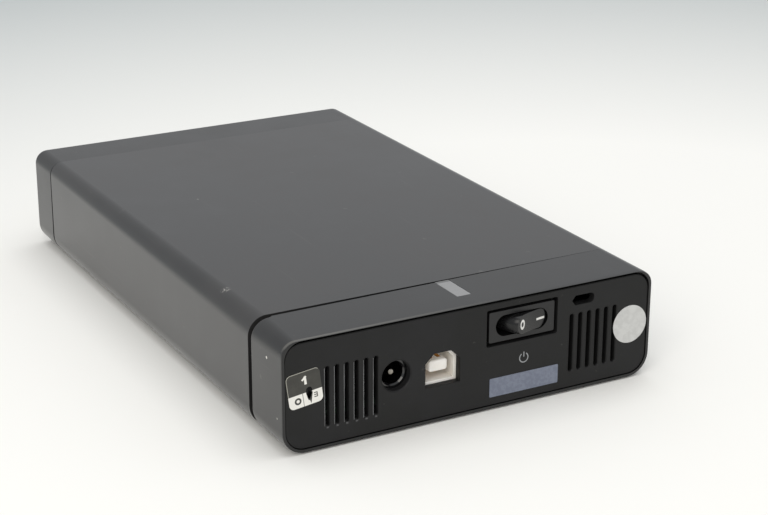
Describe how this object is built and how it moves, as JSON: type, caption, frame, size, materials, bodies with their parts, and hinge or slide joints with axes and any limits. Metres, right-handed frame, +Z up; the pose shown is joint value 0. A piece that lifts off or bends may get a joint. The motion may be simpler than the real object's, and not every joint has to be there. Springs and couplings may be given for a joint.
{
  "type": "external hard disk enclosure",
  "caption": "Flat desktop hard-disk enclosure in charcoal plastic with a near-black connector panel: vents, power jack, square data port and a power rocker.",
  "frame": {"origin": "centre of the footprint, on the surface that the rubber feet stand on", "axes": "+Z up, -Y out of the connector panel, +Y along the case to its plain front end, +X to the right when facing the connector panel"},
  "size_m": [0.116, 0.1922, 0.0323],
  "materials": {
    "case_plastic": "moulded ABS, fine satin texture, scuffed at the edges",
    "foot_rubber": "moulded rubber",
    "panel_plastic": "moulded ABS, near-black, fine spark texture",
    "black_steel": "black oxide steel",
    "zinc_steel": "zinc plated steel",
    "light_pipe_acrylic": "frosted translucent acrylic",
    "silver_film": "silver-grey film sticker",
    "printed_film": "printed film sticker with a punched hole",
    "grey_label_film": "matt grey label film",
    "switch_plastic": "moulded nylon",
    "rocker_plastic": "moulded nylon with printed marks",
    "plunger_nylon": "natural nylon",
    "spring_steel": "drawn spring wire",
    "contact_brass": "stamped brass",
    "lead_insulation": "extruded PVC insulation",
    "jack_plastic": "glossy moulded nylon",
    "plated_brass": "nickel plated brass",
    "port_plastic": "white moulded PBT",
    "gold_contact": "gold flashed contacts",
    "tinned_steel": "tinned steel sheet",
    "circuit_board": "solder mask on glass epoxy",
    "chip_epoxy": "moulded epoxy",
    "capacitor_sleeve": "shrunk sleeve with a bare aluminium top",
    "ferrite": "pressed ferrite",
    "lamp_epoxy": "clear epoxy",
    "socket_plastic": "moulded LCP",
    "cast_aluminium": "die cast, lightly blasted",
    "gasket_rubber": "formed gasket",
    "cover_steel": "stamped stainless sheet",
    "machined_aluminium": "machined, bare",
    "stator_steel": "laminated silicon steel",
    "disc_mirror": "sputtered, polished",
    "nickel_steel": "nickel plated",
    "ramp_plastic": "moulded acetal"
  },
  "bodies": {
    "case": {"sleeve": "case_plastic", "rear_cap": "case_plastic", "front_cap": "case_plastic", "rubber_feet": "foot_rubber", "port_panel": "panel_plastic", "panel_screws": "black_steel", "lock_plate": "zinc_steel", "light_pipe": "light_pipe_acrylic", "seal_sticker": "silver_film", "number_sticker": "printed_film", "blank_label": "grey_label_film", "switch_housing": "switch_plastic", "switch_terminals": "contact_brass", "switch_leads": "lead_insulation", "dc_jack_housing": "jack_plastic", "dc_jack_pin": "plated_brass", "dc_jack_spring": "contact_brass", "usb_housing": "port_plastic", "usb_contacts": "gold_contact", "usb_shell": "tinned_steel", "bridge_board": "circuit_board", "board_standoffs": "zinc_steel", "board_screws": "zinc_steel", "bridge_chips": "chip_epoxy", "crystal": "tinned_steel", "capacitors": "capacitor_sleeve", "inductors": "ferrite", "status_lamp": "lamp_epoxy", "drive_socket": "socket_plastic", "drive_tray": "zinc_steel", "drive_screws": "zinc_steel", "drive_base": "cast_aluminium", "drive_gasket": "gasket_rubber", "drive_cover": "cover_steel", "cover_screws": "zinc_steel", "spindle_stator": "stator_steel", "magnet_yokes": "nickel_steel", "head_ramp": "ramp_plastic", "drive_board": "circuit_board", "drive_plug": "socket_plastic", "drive_chips": "chip_epoxy"},
    "rocker": {"switch_rocker": "rocker_plastic", "switch_plunger": "plunger_nylon", "switch_spring": "spring_steel"},
    "contact_bar": {"switch_contact": "contact_brass"},
    "disc_pack": {"spindle_hub": "machined_aluminium", "platters": "disc_mirror", "disc_spacer": "machined_aluminium", "disc_clamp": "machined_aluminium"},
    "head_stack": {"head_arms": "machined_aluminium"}
  },
  "joints": [
    {"name": "power_rocker", "type": "hinge", "parent": "case", "child": "rocker", "pos_m": [0.01515, -0.0866, 0.0242], "axis": [0, 0, 1], "range_deg": [-32, 0]},
    {"name": "contact_rock", "type": "hinge", "parent": "case", "child": "contact_bar", "pos_m": [0.01515, -0.08063, 0.0242], "axis": [0, 0, 1], "range_deg": [0, 16]},
    {"name": "disc_spin", "type": "hinge", "parent": "case", "child": "disc_pack", "pos_m": [0, 0.0392, 0.0152], "axis": [0, 0, 1], "continuous": true},
    {"name": "head_swing", "type": "hinge", "parent": "case", "child": "head_stack", "pos_m": [0.023, -0.013, 0.01834], "axis": [0, 0, 1], "range_deg": [-32, 0]}
  ],
  "couplings": [
    {"joint": "contact_rock", "follows": "power_rocker", "ratio": -0.5}
  ]
}
